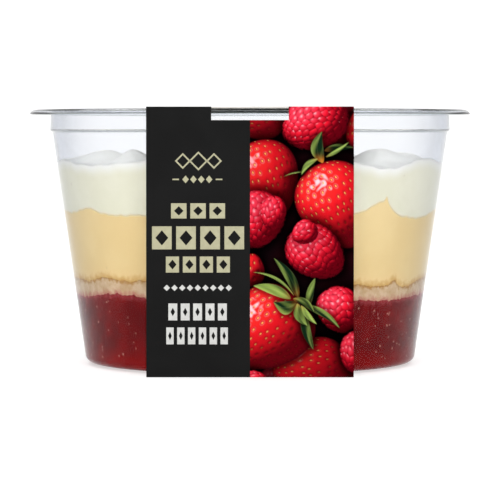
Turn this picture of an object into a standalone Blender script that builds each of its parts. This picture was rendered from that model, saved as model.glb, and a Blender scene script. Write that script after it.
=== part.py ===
"""A berry trifle in a clear pot, sealed with a film lid and banded by a printed card sleeve.

Lengths are in metres and +Z is up. The sleeve's underside rests on z = 0 and the pot's axis is
the Z axis. The front of the pack faces -Y. Angles round the pot are in degrees, 0 at the front
and 90 towards +X.
"""

import math

import bmesh
import bpy

MM = 0.001

# Driving sizes
SECTORS = 72
MERGE = 0.01 * MM
GAP = 0.3 * MM
THIN_GAP = 0.2 * MM

CARD = 0.4 * MM
SLEEVE_TOP_WIDTH = 59.4 * MM
SLEEVE_BOTTOM_WIDTH = 60.6 * MM
FOLD_RADIUS = 0.8 * MM
FOLD_STEPS = 3
SLOT_HALF_WIDTH = 11.2 * MM
BACK_SLOT_HALF_WIDTH = 13.4 * MM
SLOT_DROP = 4.4 * MM
SLOT_REACH = 4.3 * MM
CUTTER_MARGIN = 2.0 * MM

POT_HEIGHT = 77.85 * MM
POT_WALL = 0.6 * MM
RIM_RADIUS = 68.0 * MM
WALL_TOP_RADIUS = 61.05 * MM
WALL_TOP = 71.0 * MM
DRAFT = 0.1432
FOOT_CORNER = 2.6 * MM
FOOT_WIDTH = 3.4 * MM
BASE_RISE = 2.0 * MM
BASE_RAMP = 3.0 * MM
LEDGE_RADIUS = 61.8 * MM
LEDGE_TOP = 71.6 * MM
NECK_RADIUS = 61.6 * MM
NECK_FILLET = 0.8 * MM
LIP_START_RADIUS = 66.2 * MM
LIP_DROP = 0.6 * MM
LIP_TURN = 0.35 * MM
FILM_THICKNESS = 0.2 * MM
FILM_RADIUS = 66.3 * MM

# Mean level of each layer's top above the pot's foot
COMPOTE_TOP = 21.8 * MM
SPONGE_TOP = 26.6 * MM
CUSTARD_TOP = 46.4 * MM
CREAM_TOP = 61.9 * MM

# Swells of each layer's edge against the wall: (angle, half width in degrees, height)
COMPOTE_SWELLS = [
    (-75, 12, -0.6 * MM),
    (-46, 8, 1.3 * MM),
    (48, 14, -1.3 * MM),
    (110, 12, 0.8 * MM),
    (150, 16, -0.9 * MM),
    (205, 13, 1.0 * MM),
    (250, 12, -0.5 * MM),
]
SPONGE_SWELLS = [
    (-63, 5, -0.6 * MM),
    (-51, 6, 1.1 * MM),
    (44, 7, -1.6 * MM),
    (60, 6, -1.9 * MM),
    (105, 14, 0.7 * MM),
    (150, 12, -1.0 * MM),
    (195, 15, 1.1 * MM),
    (240, 10, -0.8 * MM),
]
CUSTARD_SWELLS = [
    (-58, 7, 1.9 * MM),
    (0, 18, 1.6 * MM),
    (41, 6, 4.6 * MM),
    (60, 8, -1.4 * MM),
    (112, 14, 2.2 * MM),
    (158, 16, -1.2 * MM),
    (200, 11, 2.9 * MM),
    (245, 13, -0.8 * MM),
]
CREAM_SWELLS = [
    (-80, 12, 1.2 * MM),
    (-10, 20, 1.6 * MM),
    (42, 8, -2.9 * MM),
    (62, 8, 1.8 * MM),
    (120, 18, -1.3 * MM),
    (170, 14, 1.7 * MM),
    (225, 16, -1.2 * MM),
]

# Spooned mounds on the cream: (x, y, half width, height)
CREAM_MOUNDS = [
    (-43 * MM, -17 * MM, 7.0 * MM, 3.4 * MM),
    (-34 * MM, -32 * MM, 5.0 * MM, 4.0 * MM),
    (42 * MM, -20 * MM, 7.5 * MM, 4.0 * MM),
    (46 * MM, 6 * MM, 8.0 * MM, 2.6 * MM),
    (12 * MM, -38 * MM, 9.0 * MM, 4.6 * MM),
    (-6 * MM, -12 * MM, 10.0 * MM, 4.4 * MM),
    (18 * MM, 12 * MM, 10.0 * MM, 3.6 * MM),
    (-22 * MM, 18 * MM, 9.0 * MM, 3.4 * MM),
    (-44 * MM, 12 * MM, 7.0 * MM, 2.2 * MM),
    (4 * MM, 42 * MM, 9.0 * MM, 2.8 * MM),
    (34 * MM, 34 * MM, 7.0 * MM, 2.4 * MM),
    (-30 * MM, 42 * MM, 6.0 * MM, 2.0 * MM),
]

# Rings of each surface as shares of its edge radius: few where two layers meet, more on the cream
MEETING_RINGS = [0.5, 0.82, 1.0]
CREAM_RINGS = [0.12, 0.25, 0.38, 0.5, 0.62, 0.74, 0.87, 1.0]

# Places worked out from the sizes above
FOOT = CARD + GAP
RIM_TOP = FOOT + POT_HEIGHT
FILM_BOTTOM = RIM_TOP + THIN_GAP
SLEEVE_TOP = FILM_BOTTOM + FILM_THICKNESS + THIN_GAP + CARD
FLANGE_UNDER = POT_HEIGHT - POT_WALL


def wall_radius(height):
    """Outer radius of the pot's tapered wall at a height above its foot."""
    return WALL_TOP_RADIUS - (WALL_TOP - height) * DRAFT


def food_radius(height):
    """Radius of the food at a height above the pot's foot, a gap inside the wall."""
    return wall_radius(height) - POT_WALL * math.hypot(1, DRAFT) - GAP


def foot_corner_centre():
    """Centre (radius, height) of the arc that joins the foot to the wall, tangent to both."""
    foot_radius = wall_radius(0)
    inset = FOOT_CORNER * (math.hypot(1, DRAFT) - DRAFT)
    return foot_radius - inset, FOOT_CORNER


def swell(swells, angle):
    """Sum of the bell-shaped swells at an angle round the pot."""
    total = 0.0
    for centre, half_width, height in swells:
        away = (angle - centre + 180) % 360 - 180
        total += height * math.exp(-0.5 * (away / half_width) ** 2)
    return total


def edge_relief(swells):
    """Relief of a surface whose swells fade from the wall to a level middle."""

    def relief(x, y, share):
        angle = math.degrees(math.atan2(x, -y))
        return swell(swells, angle) * share**2

    return relief


def cream_relief(x, y, share):
    """Relief of the cream's top: its edge swells and its spooned mounds."""
    height = edge_relief(CREAM_SWELLS)(x, y, share)
    fade = 1 - share**6
    for centre_x, centre_y, half_width, mound in CREAM_MOUNDS:
        away = math.hypot(x - centre_x, y - centre_y) / half_width
        height += mound * math.exp(-0.5 * away**2) * fade
    return height


def material(name, colour, roughness, alpha=1.0):
    made = bpy.data.materials.new(name)
    made.use_nodes = True
    shader = made.node_tree.nodes["Principled BSDF"]
    shader.inputs["Base Color"].default_value = (*colour, 1.0)
    shader.inputs["Roughness"].default_value = roughness
    shader.inputs["Metallic"].default_value = 0.0
    shader.inputs["Alpha"].default_value = alpha
    made.diffuse_color = (*colour, alpha)
    return made


def new_object(name, mesh, home, finish=None):
    made = bpy.data.objects.new(name, mesh)
    home.objects.link(made)
    if finish:
        mesh.materials.append(finish)
    return made


def profile_mesh(name, points, closed=False):
    """An outline in the XZ plane from (radius, height) points, joined in order."""
    count = len(points)
    edges = [(i, i + 1) for i in range(count - 1)]
    if closed:
        edges.append((count - 1, 0))
    mesh = bpy.data.meshes.new(name)
    mesh.from_pydata([(radius, 0, height) for radius, height in points], edges, [])
    return mesh


def add_screw(made):
    screw = made.modifiers.new("Turn", "SCREW")
    screw.axis = "Z"
    screw.angle = math.tau
    screw.steps = SECTORS
    screw.render_steps = SECTORS
    screw.use_merge_vertices = True
    screw.merge_threshold = MERGE
    screw.use_smooth_shade = True


def baked_mesh(made):
    """The object's evaluated mesh, in place of its modifiers."""
    graph = bpy.context.evaluated_depsgraph_get()
    mesh = bpy.data.meshes.new_from_object(made.evaluated_get(graph))
    made.modifiers.clear()
    old = made.data
    made.data = mesh
    bpy.data.meshes.remove(old)
    return mesh


def arc(centre, radius, start, end, steps):
    """Points on an arc from one angle to another, in degrees, both ends included."""
    angles = [math.radians(start + (end - start) * i / steps) for i in range(steps + 1)]
    return [
        (centre[0] + radius * math.cos(a), centre[1] + radius * math.sin(a)) for a in angles
    ]


def make_pot(home):
    """The thermoformed pot: one sheet from the rolled lip down the wall to the raised base."""
    corner = foot_corner_centre()
    wall_tilt = math.degrees(math.atan(DRAFT))
    foot_inner = corner[0] - FOOT_WIDTH
    lip_end = RIM_RADIUS - LIP_TURN
    outside = [
        (lip_end, FLANGE_UNDER - LIP_DROP),
        (lip_end - LIP_DROP, FLANGE_UNDER - LIP_DROP / 4),
        (LIP_START_RADIUS, FLANGE_UNDER),
        (NECK_RADIUS + NECK_FILLET, FLANGE_UNDER),
        (NECK_RADIUS, FLANGE_UNDER - NECK_FILLET),
        (LEDGE_RADIUS, LEDGE_TOP),
        (WALL_TOP_RADIUS, WALL_TOP),
        *arc(corner, FOOT_CORNER, -wall_tilt, -90, 3),
        (foot_inner, 0.0),
        (foot_inner - BASE_RAMP, BASE_RISE),
        (0.0, BASE_RISE),
    ]
    mesh = profile_mesh("pot", outside)
    made = new_object("pot", mesh, home, material("clear_pot", (0.9, 0.93, 0.95), 0.08, 0.25))
    made.location.z = FOOT
    add_screw(made)
    shell = made.modifiers.new("Wall", "SOLIDIFY")
    shell.thickness = POT_WALL
    shell.offset = -1
    shell.use_even_offset = True
    return made


def make_film(home):
    """The peel film sealed on the flange."""
    mesh = bpy.data.meshes.new("film_lid")
    shape = bmesh.new()
    bmesh.ops.create_cone(
        shape,
        cap_ends=True,
        segments=SECTORS,
        radius1=FILM_RADIUS,
        radius2=FILM_RADIUS,
        depth=FILM_THICKNESS,
    )
    shape.to_mesh(mesh)
    shape.free()
    made = new_object("film_lid", mesh, home, material("clear_film", (0.95, 0.96, 0.97), 0.05, 0.2))
    made.location.z = FILM_BOTTOM + FILM_THICKNESS / 2
    return made


def surface_points(level, rings):
    """(radius, height) points of a level surface from the axis out to the food's edge."""
    edge = food_radius(level)
    return [(0.0, level)] + [(edge * share, level) for share in rings]


def settle(mesh, level, relief):
    """Gives the surface at a level its relief, and keeps its edge on the tapered side."""
    edge = food_radius(level)
    for vertex in mesh.vertices:
        if abs(vertex.co.z - level) > MERGE:
            continue
        share = min(1.0, math.hypot(vertex.co.x, vertex.co.y) / edge)
        rise = relief(vertex.co.x, vertex.co.y, share)
        stretch = food_radius(level + rise) / edge
        vertex.co.x *= stretch
        vertex.co.y *= stretch
        vertex.co.z += rise


def compote_underside():
    """Points of the compote's underside, from its side in to the axis, a gap off the pot's floor."""
    centre = foot_corner_centre()
    inside = FOOT_CORNER - POT_WALL - GAP
    floor = POT_WALL + GAP
    foot_inner = centre[0] - FOOT_WIDTH + floor * math.tan(math.atan2(BASE_RISE, BASE_RAMP) / 2)
    wall_tilt = math.degrees(math.atan(DRAFT))
    return [
        *arc(centre, inside, -wall_tilt, -90, 2),
        (foot_inner, floor),
        (foot_inner - BASE_RAMP, BASE_RISE + floor),
        (0.0, BASE_RISE + floor),
    ]


def make_layer(home, name, finish, top, top_rings, top_relief, bottom=None, bottom_relief=None):
    """One layer of the trifle, right through the pot, between two uneven surfaces."""
    points = surface_points(top, top_rings)
    if bottom is None:
        points += compote_underside()
    else:
        points += reversed(surface_points(bottom, MEETING_RINGS))
    made = new_object(name, profile_mesh(name, points), home, finish)
    add_screw(made)
    mesh = baked_mesh(made)
    settle(mesh, top, top_relief)
    if bottom is not None:
        settle(mesh, bottom, bottom_relief)
    made.location.z = FOOT
    return made


def make_food(home):
    """The four layers, from the pot's floor up, each a gap above the one below."""
    layers = [
        ("compote", (0.19, 0.012, 0.012), 0.35, COMPOTE_TOP, edge_relief(COMPOTE_SWELLS)),
        ("sponge", (0.62, 0.44, 0.28), 0.9, SPONGE_TOP, edge_relief(SPONGE_SWELLS)),
        ("custard", (0.79, 0.6, 0.29), 0.4, CUSTARD_TOP, edge_relief(CUSTARD_SWELLS)),
        ("cream", (0.84, 0.82, 0.68), 0.5, CREAM_TOP, cream_relief),
    ]
    bottom = None
    bottom_relief = None
    for name, colour, roughness, top, relief in layers:
        rings = CREAM_RINGS if name == "cream" else MEETING_RINGS
        finish = material(name, colour, roughness)
        make_layer(home, name, finish, top, rings, relief, bottom, bottom_relief)
        bottom = top + GAP
        bottom_relief = relief


def sleeve_corners():
    """Outer fold corners (y, z) on the +Y side: the bottom fold, then the top fold.

    The panel's inner face leaves a gap to the rim at the slot's ends, and a gap to the corner of
    the pot's foot, so it lies on the tangent from the top fold to a circle round that corner.
    """
    rim_at_slot = math.sqrt(RIM_RADIUS**2 - SLOT_HALF_WIDTH**2)
    top_inner = SLEEVE_TOP - CARD
    fold_y = rim_at_slot + 2 * GAP
    corner_radius, corner_height = foot_corner_centre()
    run = fold_y - corner_radius
    rise = top_inner - (corner_height + FOOT)
    reach = math.hypot(run, rise)
    lean = math.atan2(run, rise) - math.asin((FOOT_CORNER + GAP) / reach)
    step_out = CARD / math.cos(lean)
    outer_top = fold_y + step_out + CARD * math.tan(lean)
    outer_bottom = outer_top - SLEEVE_TOP * math.tan(lean)
    return (outer_bottom, 0.0), (outer_top, SLEEVE_TOP)


def rounded(corner, before, after):
    """An arc of the fold radius in place of a corner, tangent to both of its sides."""
    into = [before[i] - corner[i] for i in range(2)]
    away = [after[i] - corner[i] for i in range(2)]
    into = [c / math.hypot(*into) for c in into]
    away = [c / math.hypot(*away) for c in away]
    half = math.acos(into[0] * away[0] + into[1] * away[1]) / 2
    middle = [into[i] + away[i] for i in range(2)]
    length = math.hypot(*middle)
    centre = [corner[i] + middle[i] / length * FOLD_RADIUS / math.sin(half) for i in range(2)]
    setback = FOLD_RADIUS / math.tan(half)
    angles = []
    for side in (into, away):
        point = [corner[i] + side[i] * setback for i in range(2)]
        angles.append(math.degrees(math.atan2(point[1] - centre[1], point[0] - centre[0])))
    start, end = angles
    turn = (end - start + 180) % 360 - 180
    return arc(centre, FOLD_RADIUS, start, start + turn, FOLD_STEPS)


def make_sleeve(home, cutters):
    """The card sleeve: one band over the film, down both sides and under the foot."""
    bottom, top = sleeve_corners()
    corners = [(-bottom[0], 0.0), bottom, top, (-top[0], SLEEVE_TOP)]
    outline = []
    for i, corner in enumerate(corners):
        outline += rounded(corner, corners[i - 1], corners[(i + 1) % 4])
    mesh = bpy.data.meshes.new("sleeve")
    shape = bmesh.new()
    ring = [shape.verts.new((-0.5, y, z)) for y, z in outline]
    edges = [shape.edges.new((ring[i - 1], ring[i])) for i in range(len(ring))]
    swept = bmesh.ops.extrude_edge_only(shape, edges=edges)["geom"]
    far_side = [made for made in swept if isinstance(made, bmesh.types.BMVert)]
    bmesh.ops.translate(shape, vec=(1, 0, 0), verts=far_side)
    for vertex in shape.verts:
        share = vertex.co.z / SLEEVE_TOP
        vertex.co.x *= SLEEVE_BOTTOM_WIDTH + (SLEEVE_TOP_WIDTH - SLEEVE_BOTTOM_WIDTH) * share
    bmesh.ops.recalc_face_normals(shape, faces=shape.faces)
    shape.to_mesh(mesh)
    shape.free()
    made = new_object("sleeve", mesh, home, material("printed_card", (0.016, 0.016, 0.016), 0.5))
    shell = made.modifiers.new("Card", "SOLIDIFY")
    shell.thickness = CARD
    shell.offset = -1
    shell.use_even_offset = True
    slots = ((-1, "front_slot", SLOT_HALF_WIDTH), (1, "back_slot", BACK_SLOT_HALF_WIDTH))
    for side, name, half_width in slots:
        cut = made.modifiers.new(name, "BOOLEAN")
        cut.operation = "DIFFERENCE"
        cut.object = slot_cutter(name, side, top[0], half_width, cutters)
    return made


def slot_cutter(name, side, fold_y, half_width, home):
    """A box that opens the fold where the rim pokes through."""
    mesh = bpy.data.meshes.new(name)
    shape = bmesh.new()
    bmesh.ops.create_cube(shape, size=1)
    depth = SLOT_REACH + CUTTER_MARGIN
    height = SLOT_DROP + CUTTER_MARGIN
    bmesh.ops.scale(shape, vec=(2 * half_width, depth, height), verts=shape.verts)
    shape.to_mesh(mesh)
    shape.free()
    made = new_object(name, mesh, home)
    made.location = (
        0,
        side * (fold_y + CUTTER_MARGIN - depth / 2),
        SLEEVE_TOP + CUTTER_MARGIN - height / 2,
    )
    made.hide_render = True
    made.display_type = "WIRE"
    return made


def main():
    for made in list(bpy.data.objects):
        bpy.data.objects.remove(made)
    trifle = bpy.data.collections.new("trifle")
    cutters = bpy.data.collections.new("cutters")
    for home in (trifle, cutters):
        bpy.context.scene.collection.children.link(home)
    make_pot(trifle)
    make_film(trifle)
    make_food(trifle)
    make_sleeve(trifle, cutters)


main()
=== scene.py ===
import math

import bpy
import numpy as np
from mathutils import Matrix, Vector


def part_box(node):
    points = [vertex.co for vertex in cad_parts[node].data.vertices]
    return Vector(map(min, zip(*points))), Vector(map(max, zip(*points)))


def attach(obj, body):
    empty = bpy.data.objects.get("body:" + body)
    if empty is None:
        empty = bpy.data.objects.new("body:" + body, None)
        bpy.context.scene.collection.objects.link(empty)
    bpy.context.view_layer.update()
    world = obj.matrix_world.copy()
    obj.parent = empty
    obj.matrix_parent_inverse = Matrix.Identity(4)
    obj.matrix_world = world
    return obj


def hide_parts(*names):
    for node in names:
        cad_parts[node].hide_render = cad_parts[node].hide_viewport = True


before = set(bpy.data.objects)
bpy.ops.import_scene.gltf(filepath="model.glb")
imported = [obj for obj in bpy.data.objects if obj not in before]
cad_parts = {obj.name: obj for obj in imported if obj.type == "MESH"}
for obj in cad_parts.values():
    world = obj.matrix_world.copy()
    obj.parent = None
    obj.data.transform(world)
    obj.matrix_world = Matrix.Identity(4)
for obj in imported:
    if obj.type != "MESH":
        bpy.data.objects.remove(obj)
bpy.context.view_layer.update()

mm = 0.001
rng = np.random.default_rng(11)
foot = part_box("pot")[0].z            # underside of the pot's foot


def tone(red, green, blue):
    # Screen values from 0 to 255 turned into the linear colour that shaders use
    share = np.array((red, green, blue)) / 255
    linear = np.where(share <= 0.04045, share / 12.92, ((share + 0.055) / 1.055) ** 2.4)
    return tuple(float(v) for v in linear)


# ---- meshes from whole arrays

def gridQuads(rows, cols, wrap=False):
    # Corner numbers of each quad on a grid numbered row by row; wrap joins the last column to the first
    i, j = np.meshgrid(np.arange(rows - 1), np.arange(cols if wrap else cols - 1), indexing="ij")
    k = (j + 1) % cols
    quads = np.stack([i * cols + j, (i + 1) * cols + j, (i + 1) * cols + k, i * cols + k], -1)
    return quads.reshape(-1, 4)


def addPiece(name, points, faces, values=None, smooth=True):
    # Points and faces go into a new mesh; each named array of values becomes a point attribute
    mesh = bpy.data.meshes.new(name)
    mesh.from_pydata(np.asarray(points).tolist(), [], faces)
    for key, array in (values or {}).items():
        colour = array.ndim == 2
        made = mesh.attributes.new(key, "FLOAT_COLOR" if colour else "FLOAT", "POINT")
        made.data.foreach_set("color" if colour else "value", array.astype(np.float32).ravel())
    mesh.update()
    if smooth:
        mesh.shade_smooth()
    piece = bpy.data.objects.new(name, mesh)
    bpy.context.scene.collection.objects.link(piece)
    return piece


def turnedPiece(name, radius, height, poles, values=None):
    # A closed turned solid: each point is (r sin a, -r cos a, h) with a even steps round from the front,
    # rows run down the outside, and one point on the axis closes each end
    rows, cols = radius.shape
    angle = np.linspace(0, math.tau, cols, endpoint=False)
    points = np.stack([radius * np.sin(angle), -radius * np.cos(angle), height], -1).reshape(-1, 3)
    points = np.vstack([points, [[0, 0, poles[0]], [0, 0, poles[1]]]])
    start, end = rows * cols, rows * cols + 1
    j = np.arange(cols)
    k = (j + 1) % cols
    last = (rows - 1) * cols
    faces = gridQuads(rows, cols, wrap=True).tolist()
    faces += np.stack([np.full(cols, start), j, k], 1).tolist()
    faces += np.stack([last + j, np.full(cols, end), last + k], 1).tolist()
    if values:
        values = {key: np.append(array.ravel(), (array[0].mean(), array[-1].mean()))
                  for key, array in values.items()}
    return addPiece(name, points, faces, values)


def unit(vector):
    return vector / np.linalg.norm(vector)


def roundedPath(corners, closed=False, step=10):
    # Straight runs from corner to corner; each corner (x, y, radius) becomes an arc tangent to both runs
    path = []
    count = len(corners)
    for i, (x, y, radius) in enumerate(corners):
        here = np.array((x, y))
        if radius == 0 or (not closed and i in (0, count - 1)):
            path.append(here)
            continue
        into = unit(np.array(corners[i - 1][:2]) - here)
        away = unit(np.array(corners[(i + 1) % count][:2]) - here)
        half = math.acos(np.clip(into @ away, -1, 1)) / 2
        centre = here + unit(into + away) * radius / math.sin(half)
        ends = [here + side * radius / math.tan(half) - centre for side in (into, away)]
        start, end = [math.atan2(p[1], p[0]) for p in ends]
        turn = (end - start + math.pi) % math.tau - math.pi
        angles = start + turn * np.linspace(0, 1, max(3, int(abs(math.degrees(turn)) / step) + 2))
        path += list(centre + radius * np.stack([np.cos(angles), np.sin(angles)], 1))
    return np.array(path)


def offsetCorners(corners, distance, least=0.1 * mm):
    # Every run moves to its right by the distance and the corners are where the moved runs meet;
    # an arc keeps its centre, so its radius shrinks on a right turn and grows on a left one
    points = np.array([c[:2] for c in corners])
    runs = np.diff(points, axis=0)
    runs /= np.linalg.norm(runs, axis=1, keepdims=True)
    right = np.stack([runs[:, 1], -runs[:, 0]], 1)
    before = np.vstack([right[:1], right])
    after = np.vstack([right, right[-1:]])
    mitre = (before + after) / (1 + (before * after).sum(1, keepdims=True))
    moved = points + mitre * distance
    turns = before[:, 0] * after[:, 1] - before[:, 1] * after[:, 0]
    radii = [0 if c[2] == 0 else max(least, c[2] + (distance if turn > 0 else -distance))
             for c, turn in zip(corners, turns)]
    return [(x, y, radius) for (x, y), radius in zip(moved, radii)]


# ---- shader helpers

def newMaterial(name, colour, roughness, **plain):
    # A Principled material; every other plain value goes straight on the shader's own socket
    material = bpy.data.materials.new(name)
    material.use_nodes = True
    shader = material.node_tree.nodes["Principled BSDF"]
    shader.inputs["Base Color"].default_value = (*colour, 1)
    shader.inputs["Roughness"].default_value = roughness
    for key, value in plain.items():
        shader.inputs[key.replace("_", " ")].default_value = value
    return material, material.node_tree, shader


def addNode(tree, kind, links=None, **settings):
    # One node with its settings; links gives each input a value or another node's output
    made = tree.nodes.new(kind)
    for key, value in settings.items():
        setattr(made, key, value)
    for key, value in (links or {}).items():
        socket = made.inputs[key]
        if isinstance(value, bpy.types.NodeSocket):
            tree.links.new(value, socket)
        else:
            socket.default_value = value
    return made


def mixColours(tree, factor, first, second, blend="MIX"):
    made = addNode(tree, "ShaderNodeMix", data_type="RGBA", blend_type=blend)
    for place, value in ((0, factor), (6, first), (7, second)):
        if isinstance(value, bpy.types.NodeSocket):
            tree.links.new(value, made.inputs[place])
        elif place == 0:
            made.inputs[place].default_value = value
        else:
            made.inputs[place].default_value = (*value, 1)
    return made.outputs[2]


def remap(tree, value, low, high, toLow=0.0, toHigh=1.0, smooth=True):
    # The value's way from low to high, as toLow to toHigh
    made = addNode(tree, "ShaderNodeMapRange", {"Value": value, "From Min": low, "From Max": high,
                                                "To Min": toLow, "To Max": toHigh})
    made.interpolation_type = "SMOOTHSTEP" if smooth else "LINEAR"
    return made.outputs["Result"]


def workOut(tree, operation, first, second=0.0):
    # One sum, product or the like of two values
    return addNode(tree, "ShaderNodeMath", {0: first, 1: second}, operation=operation).outputs[0]


def placeOn(tree):
    # Places on the object, in its own metres
    return addNode(tree, "ShaderNodeTexCoord").outputs["Object"]


def noiseOver(tree, place, scale, detail=2.0):
    # Noise from 0 to 1 over a place: about so many waves a metre, with so many finer layers on top
    made = addNode(tree, "ShaderNodeTexNoise", {"Vector": place, "Scale": scale, "Detail": detail})
    return made.outputs["Fac"]


def newGroup(name, inputs, outputs):
    # An empty shader group with named sockets: (name, kind, default)
    group = bpy.data.node_groups.new(name, "ShaderNodeTree")
    for key, kind, default in inputs:
        made = group.interface.new_socket(key, in_out="INPUT", socket_type=kind)
        made.default_value = default
    for key, kind in outputs:
        group.interface.new_socket(key, in_out="OUTPUT", socket_type=kind)
    return group, group.nodes.new("NodeGroupInput").outputs, group.nodes.new("NodeGroupOutput").inputs


def makeMottle():
    # Two colours mixed by broad noise, with small pinholes darkened by painted shade: each food's uneven
    # colour
    group, given, out = newGroup(
        "mottle",
        [("Colour", "NodeSocketColor", (1, 1, 1, 1)), ("Second", "NodeSocketColor", (1, 1, 1, 1)),
         ("Scale", "NodeSocketFloat", 120.0), ("Amount", "NodeSocketFloat", 0.6),
         ("Pinholes", "NodeSocketFloat", 0.3)],
        [("Colour", "NodeSocketColor"), ("Height", "NodeSocketFloat")])
    place = placeOn(group)
    noise = addNode(group, "ShaderNodeTexNoise", {"Vector": place, "Scale": given["Scale"], "Detail": 6.0,
                                                  "Roughness": 0.62})
    share = remap(group, noise.outputs["Fac"], 0.36, 0.66)
    mixed = mixColours(group, workOut(group, "MULTIPLY", share, given["Amount"]), (1, 1, 1), (1, 1, 1))
    group.links.new(given["Colour"], mixed.node.inputs[6])
    group.links.new(given["Second"], mixed.node.inputs[7])
    cells = addNode(group, "ShaderNodeTexVoronoi", {"Vector": place, "Scale": 260.0})
    hole = remap(group, cells.outputs["Distance"], 0.05, 0.14, 1.0, 0.0)
    rare = addNode(group, "ShaderNodeSeparateColor", {"Color": cells.outputs["Color"]}).outputs[0]
    dark = workOut(group, "MULTIPLY", hole, remap(group, rare, 0.86, 0.88))
    dark = workOut(group, "MULTIPLY", dark, given["Pinholes"])
    # painted shade: the rare pinholes are painted brown-black as the shade inside the holes
    shadedHoles = mixColours(group, dark, (1, 1, 1), (0.25, 0.16, 0.1))
    group.links.new(mixed, shadedHoles.node.inputs[6])
    group.links.new(shadedHoles, out["Colour"])
    group.links.new(noise.outputs["Fac"], out["Height"])
    return group


def placeGroup(tree, group, values):
    made = tree.nodes.new("ShaderNodeGroup")
    made.node_tree = group
    for key, value in values.items():
        if isinstance(value, bpy.types.NodeSocket):
            tree.links.new(value, made.inputs[key])
        else:
            made.inputs[key].default_value = (*value, 1) if isinstance(value, tuple) else value
    return made


def addBump(tree, shader, height, strength, distance):
    made = addNode(tree, "ShaderNodeBump", {"Height": height, "Strength": strength, "Distance": distance})
    tree.links.new(made.outputs["Normal"], shader.inputs["Normal"])


# ---- pot

pot = {
    "sheet": 0.6 * mm,               # wall thickness
    "wallTopRadius": 61.05 * mm,
    "wallTop": 71.0 * mm,            # height of the ledge above the foot
    "draft": 0.1432,                 # how fast the wall widens with height
    "sectors": 288,
    "tint": tone(246, 247, 249),
    "roughness": 0.06,
    "index": 1.15,                   # refraction, weaker than plain plastic's
    "lipLow": 77.3 * mm,             # heights of the lip's lower and upper edge above the floor
    "lipHigh": 78.45 * mm,
    "lipInner": 65.0 * mm,           # the lip lies beyond this radius
    "ledgeLow": 70.9 * mm,           # the ledge's bends lie between these heights above the floor
    "ledgeHigh": 73.5 * mm,
    "marksEnd": 70.0 * mm,           # the wall's draw marks fade out below this height
    "paintedEdgeShade": tone(140, 148, 147),       # painted shade: dark lines along the lip's edges and in the ledge's bends, where the bent sheet would refract dark surroundings
    "glancingTint": tone(194, 199, 209),   # where the line of sight runs along inside the sheet
}


def wallRadius(height):
    # Outer radius of the tapered wall: the radius at its top less the draft times the way down
    return pot["wallTopRadius"] - (pot["wallTop"] - height) * pot["draft"]


# Underside and outside of the sheet, from the rolled lip down to the base: (radius, height, arc radius)
potCorners = [
    (67.6 * mm, 76.55 * mm, 0),
    (67.0 * mm, 77.25 * mm, 0.6 * mm),
    (61.6 * mm, 77.25 * mm, 0.8 * mm),
    (61.85 * mm, 71.6 * mm, 0.4 * mm),
    (pot["wallTopRadius"], pot["wallTop"], 0.4 * mm),
    (wallRadius(0), 0.0, 2.6 * mm),
    (45.6 * mm, 0.0, 0.6 * mm),
    (42.6 * mm, 2.0 * mm, 0.8 * mm),
    (4.0 * mm, 2.0 * mm, 0),
]


def edgeShadeMask(tree, place, level):
    # Mask of the painted shade that stands in for the dark lines the sheet's bends refract: one along the
    # lip's two edges, where the height is close to either edge's and the place is beyond the lip's inner
    # radius, and half where
    # the sheet bends at the ledge: the normal's upward share lies between nought and one there
    flat = addNode(tree, "ShaderNodeVectorMath", {0: place, 1: (1.0, 1.0, 0.0)}, operation="MULTIPLY")
    length = addNode(tree, "ShaderNodeVectorMath", {0: flat.outputs[0]}, operation="LENGTH")
    away = [workOut(tree, "ABSOLUTE", workOut(tree, "SUBTRACT", level, pot[key]))
            for key in ("lipLow", "lipHigh")]
    line = remap(tree, workOut(tree, "MINIMUM", *away), 0.08 * mm, 0.22 * mm, 1.0, 0.0)
    beyond = remap(tree, length.outputs["Value"], pot["lipInner"], pot["lipInner"] + 0.5 * mm)
    lip = workOut(tree, "MULTIPLY", line, beyond)
    faced = addNode(tree, "ShaderNodeTexCoord").outputs["Normal"]
    tilt = addNode(tree, "ShaderNodeSeparateXYZ", {"Vector": faced}).outputs["Z"]
    tilt = workOut(tree, "ABSOLUTE", tilt)
    bend = workOut(tree, "MULTIPLY", remap(tree, tilt, 0.35, 0.6), remap(tree, tilt, 0.96, 0.99, 0.5, 0.0))
    above = remap(tree, level, pot["ledgeLow"], pot["ledgeLow"] + 0.4 * mm)
    below = remap(tree, level, pot["ledgeHigh"] - 0.4 * mm, pot["ledgeHigh"], 1.0, 0.0)
    ledge = workOut(tree, "MULTIPLY", above, below)
    return workOut(tree, "MAXIMUM", lip, workOut(tree, "MULTIPLY", bend, ledge))


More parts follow.
